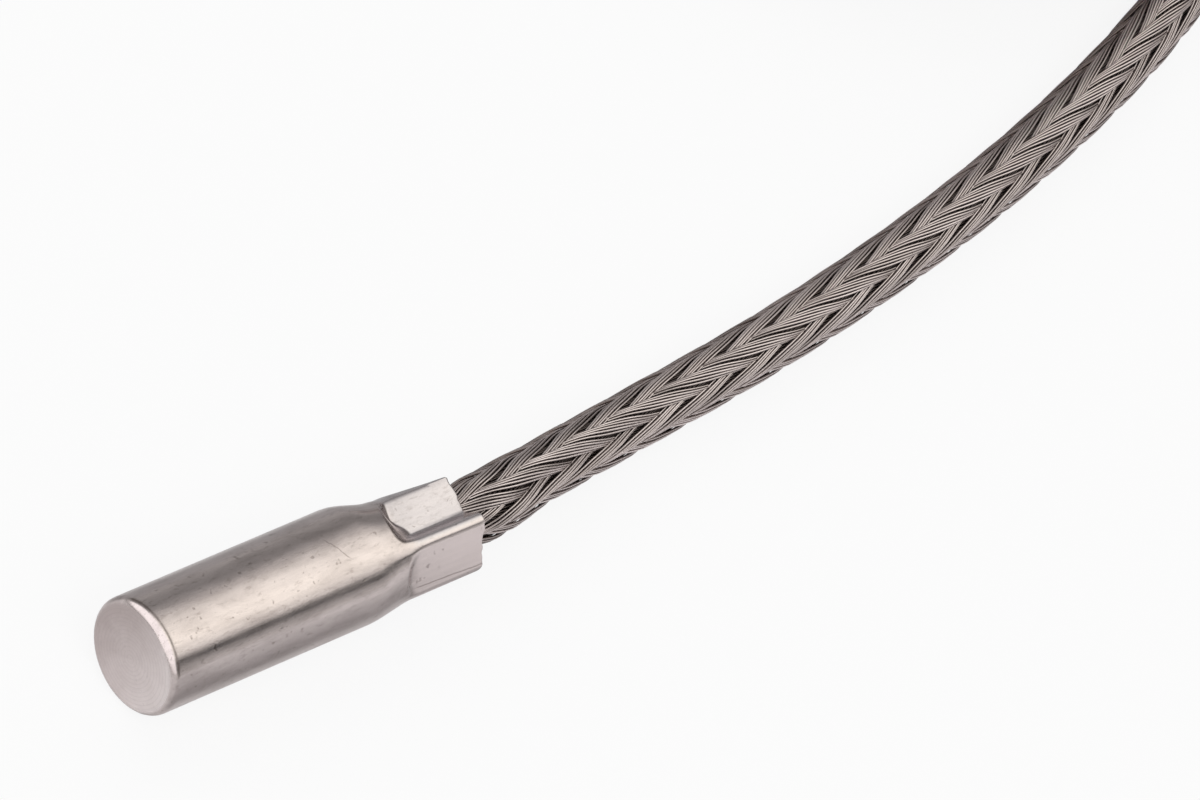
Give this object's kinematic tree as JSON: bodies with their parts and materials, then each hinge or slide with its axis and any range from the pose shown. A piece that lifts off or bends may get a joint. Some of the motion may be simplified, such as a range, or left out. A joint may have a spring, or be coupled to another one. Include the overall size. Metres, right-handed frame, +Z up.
{
  "type": "thermocouple probe",
  "caption": "Short stainless capsule with a closed sensing end, crimped on to a metal-braided lead that lies coiled and ends in two insulated tails.",
  "frame": {"origin": "centre of the flat face on the capsule's closed end", "axes": "+X along the capsule from the closed end towards the lead, +Z up, with the floor at z = -0.003"},
  "size_m": [0.1146, 0.0871, 0.0088],
  "materials": {
    "stainless_sheath": "polished drawn tube with fine scratches",
    "stainless_braid": "woven bright wire",
    "ceramic_cement": "matt",
    "glass_fibre": "woven sleeving",
    "welded_junction": "fused bead",
    "positive_wire": "drawn wire",
    "negative_wire": "drawn wire",
    "tie_nylon": "satin",
    "shrunk_sleeve": "satin",
    "positive_insulation": "varnished woven sleeving",
    "negative_insulation": "varnished woven sleeving"
  },
  "bodies": {
    "root": {"sheath_capsule": "stainless_sheath", "cement_filling": "ceramic_cement", "hot_junction": "welded_junction", "positive_thermoelement": "positive_wire", "negative_thermoelement": "negative_wire", "positive_insulation": "glass_fibre", "negative_insulation": "glass_fibre", "core_wrap": "glass_fibre", "clamped_braid_end": "stainless_braid", "braided_lead": "stainless_braid", "lead_coil": "stainless_braid", "coil_tie_1": "tie_nylon", "coil_tie_2": "tie_nylon", "coil_tie_3": "tie_nylon", "lead_free_end": "stainless_braid", "end_sleeve": "shrunk_sleeve", "positive_tail": "positive_insulation", "negative_tail": "negative_insulation", "positive_bare_end": "positive_wire", "negative_bare_end": "negative_wire"}
  },
  "joints": []
}
